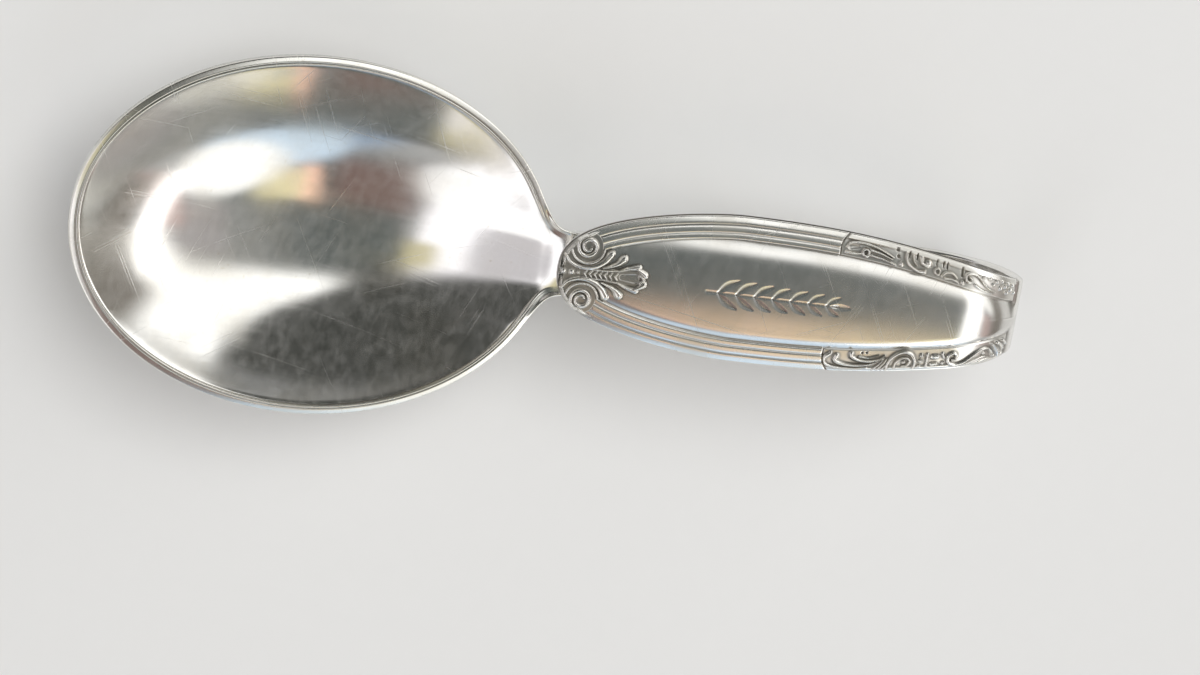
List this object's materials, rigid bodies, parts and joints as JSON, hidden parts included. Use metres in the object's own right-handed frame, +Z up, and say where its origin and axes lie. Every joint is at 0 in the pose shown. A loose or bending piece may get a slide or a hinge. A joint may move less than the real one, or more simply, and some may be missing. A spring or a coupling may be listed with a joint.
{
  "type": "baby spoon",
  "caption": "Silver baby spoon with a deep oval bowl and a broad ornamented strap handle bent back over itself into a finger loop.",
  "frame": {"origin": "centre of the spoon's box, on the surface that it rests on", "axes": "+X from the bowl's nose to the outside of the loop, +Z up out of the bowl's hollow"},
  "size_m": [0.0882, 0.032, 0.0163],
  "materials": {
    "bowl_silver": "polished silver with fine wear scratches and cloudy tarnish",
    "rim_silver": "polished silver, worn bright along its edges",
    "handle_silver": "polished silver with fine scratches and cloudy tarnish",
    "silver_solder": "silver solder, a little duller than the sheet",
    "ornament_silver": "struck silver, bright on the ridges and dark with tarnish in the recesses"
  },
  "bodies": {
    "root": {"bowl": "bowl_silver", "bowl_rim": "rim_silver", "handle": "handle_silver", "heel_solder": "silver_solder", "tip_ornament": "ornament_silver", "thread_border_left": "ornament_silver", "thread_border_right": "ornament_silver", "scroll_border_left": "ornament_silver", "scroll_border_right": "ornament_silver"}
  },
  "joints": []
}
